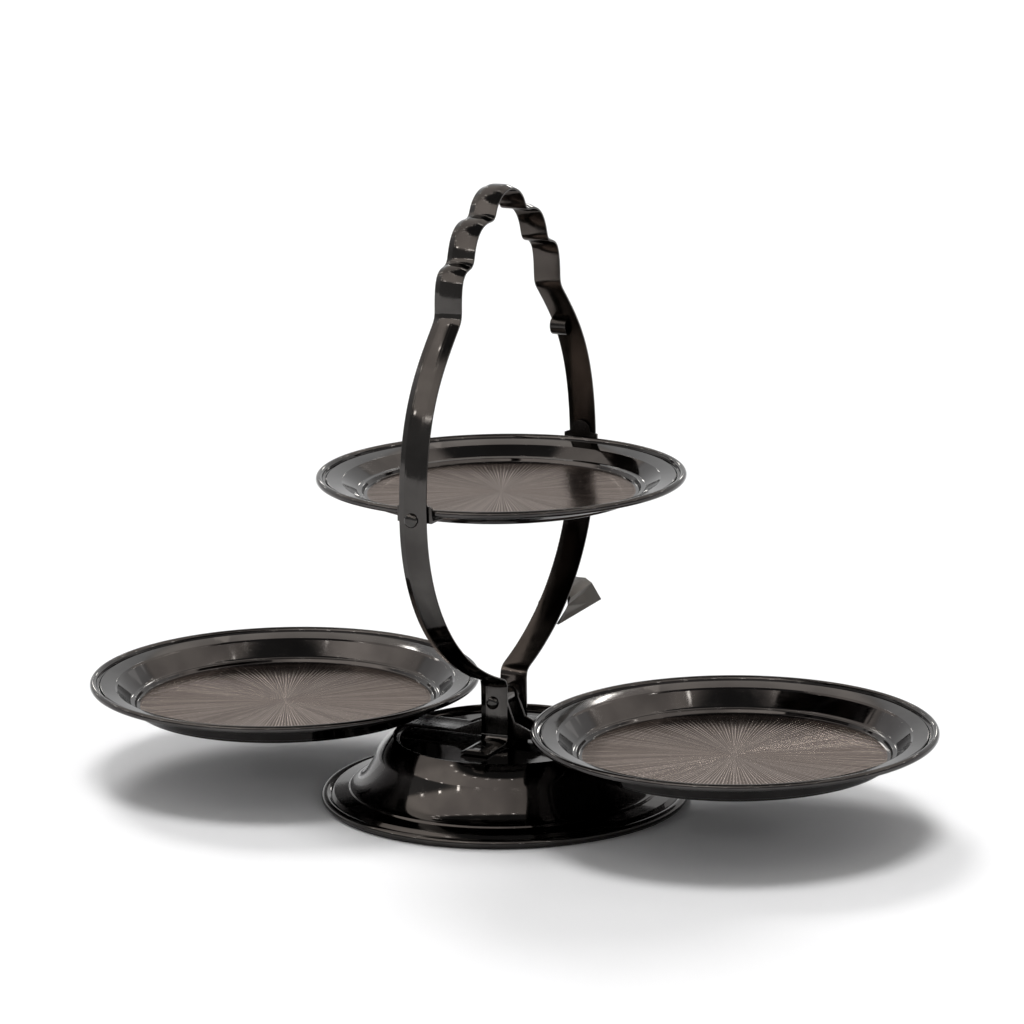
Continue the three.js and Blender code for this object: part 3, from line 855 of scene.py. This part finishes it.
def lamp_share(tree, toward, azimuth, elevation):
    """1 where a direction meets a lamp: a row along each edge of the ring, and a few single ones behind."""
    lamps = 0.0
    for row_elevation, count, half in lamp_rows:
        beads = calc(tree, "COSINE", calc(tree, "MULTIPLY", azimuth, float(count)))
        off_row = calc(tree, "ABSOLUTE", calc(tree, "SUBTRACT", elevation, math.radians(row_elevation)))
        near = angle_span(tree, off_row, half * 0.7, half, 1.0, 0.0)
        lamps = calc(tree, "MAXIMUM", lamps, calc(tree, "MULTIPLY", span(tree, beads, *lamp_span), near))
    for lamp_azimuth, lamp_elevation, size in single_lamps:
        centre = direction(lamp_azimuth, lamp_elevation)
        near = node(tree, "VectorMath", {0: toward, 1: centre}, operation="DOT_PRODUCT").outputs["Value"]
        edge = math.cos(math.radians(size))
        lamps = calc(tree, "MAXIMUM", lamps, span(tree, near, edge, (1 + edge) / 2))
    return lamps


def build_world():
    """The studio that the metal reflects, and a plain sky that lights matt surfaces."""
    world = bpy.data.worlds.new("studio")
    bpy.context.scene.world = world
    world.use_nodes = True
    tree = world.node_tree
    toward = node(tree, "TexCoord").outputs["Generated"]
    x, y, z = node(tree, "SeparateXYZ", {0: toward}).outputs
    azimuth = calc(tree, "ARCTAN2", x, calc(tree, "MULTIPLY", y, -1.0))
    elevation = calc(tree, "ARCSINE", z)
    room = ring_and_walls(tree, azimuth, elevation)
    lamps = lamp_share(tree, toward, azimuth, elevation)
    colour = blend_colour(tree, lamps, room, tuple(lamp_light * channel for channel in lamp_tint))
    matt = node(tree, "LightPath").outputs["Is Diffuse Ray"]
    background = tree.nodes["Background"]
    tree.links.new(blend_colour(tree, matt, colour, sky_light), background.inputs["Color"])


def add_sun(name, azimuth, elevation, strength, spread):
    """A soft directional light that the metal doesn't reflect."""
    light = bpy.data.lights.new(name, "SUN")
    light.energy = strength
    light.angle = math.radians(spread)
    lamp = bpy.data.objects.new(name, light)
    toward = direction(azimuth, elevation)
    lamp.rotation_euler = toward.to_track_quat("Z", "Y").to_euler()
    lamp.location = toward * 2
    lamp.visible_glossy = False
    bpy.context.scene.collection.objects.link(lamp)


def build_floor():
    """A wide pale floor under the stand."""
    mesh = bpy.data.meshes.new("studio_floor")
    sides = ((-1, -1), (1, -1), (1, 1), (-1, 1))
    corners = [(x * floor_half_width, y * floor_half_width, -floor_drop) for x, y in sides]
    mesh.from_pydata(corners, [], [(0, 1, 2, 3)])
    mesh.materials.append(pale_floor())
    floor = bpy.data.objects.new("studio_floor", mesh)
    bpy.context.scene.collection.objects.link(floor)


def build_camera():
    """The product view: slightly above, from the front and a little to the right."""
    back = direction(camera_azimuth, camera_elevation)
    turn, roll = math.radians(camera_azimuth), math.radians(camera_roll)
    level = Vector((math.cos(turn), math.sin(turn), 0))
    right = level * math.cos(roll) + back.cross(level) * math.sin(roll)
    up = back.cross(right)
    camera = bpy.data.cameras.new("product_camera")
    camera.sensor_width = 36.0
    camera.lens = camera_lens
    camera.clip_end = 60.0
    view = bpy.data.objects.new("product_camera", camera)
    view.matrix_world = Matrix((
        (right.x, up.x, back.x, 0), (right.y, up.y, back.y, 0), (right.z, up.z, back.z, 0), (0, 0, 0, 1)))
    view.location = Vector(camera_aim) + back * camera_distance
    bpy.context.scene.collection.objects.link(view)
    bpy.context.scene.camera = view


build_camera()
build_base()
build_plate("left_plate", "left_tray", lower_floor_depth, lower_ledge_depth)
build_plate("right_plate", "right_tray", lower_floor_depth, lower_ledge_depth)
build_plate("top_plate", "top_tray", top_floor_depth, top_ledge_depth)
build_hoop()
build_washers()
build_rivets()
refined("pivot_bracket_near", bracket_metal, "top_tray", bracket_bevel)
refined("pivot_bracket_far", bracket_metal, "top_tray", bracket_bevel)
refined("left_arm", bracket_metal, "left_tray", bracket_bevel)
refined("right_arm", bracket_metal, "right_tray", bracket_bevel)
refined("rim_catch", bracket_metal, "frame", catch_bevel)
refined("thumb_tab", tab_metal, "frame", tab_bevel)

build_world()
add_sun("top_light", azimuth=200.0, elevation=87.0, strength=1.55, spread=22.0)
add_sun("back_light", azimuth=222.0, elevation=42.0, strength=1.5, spread=18.0)
build_floor()
bpy.context.scene.view_settings.view_transform = "Standard"
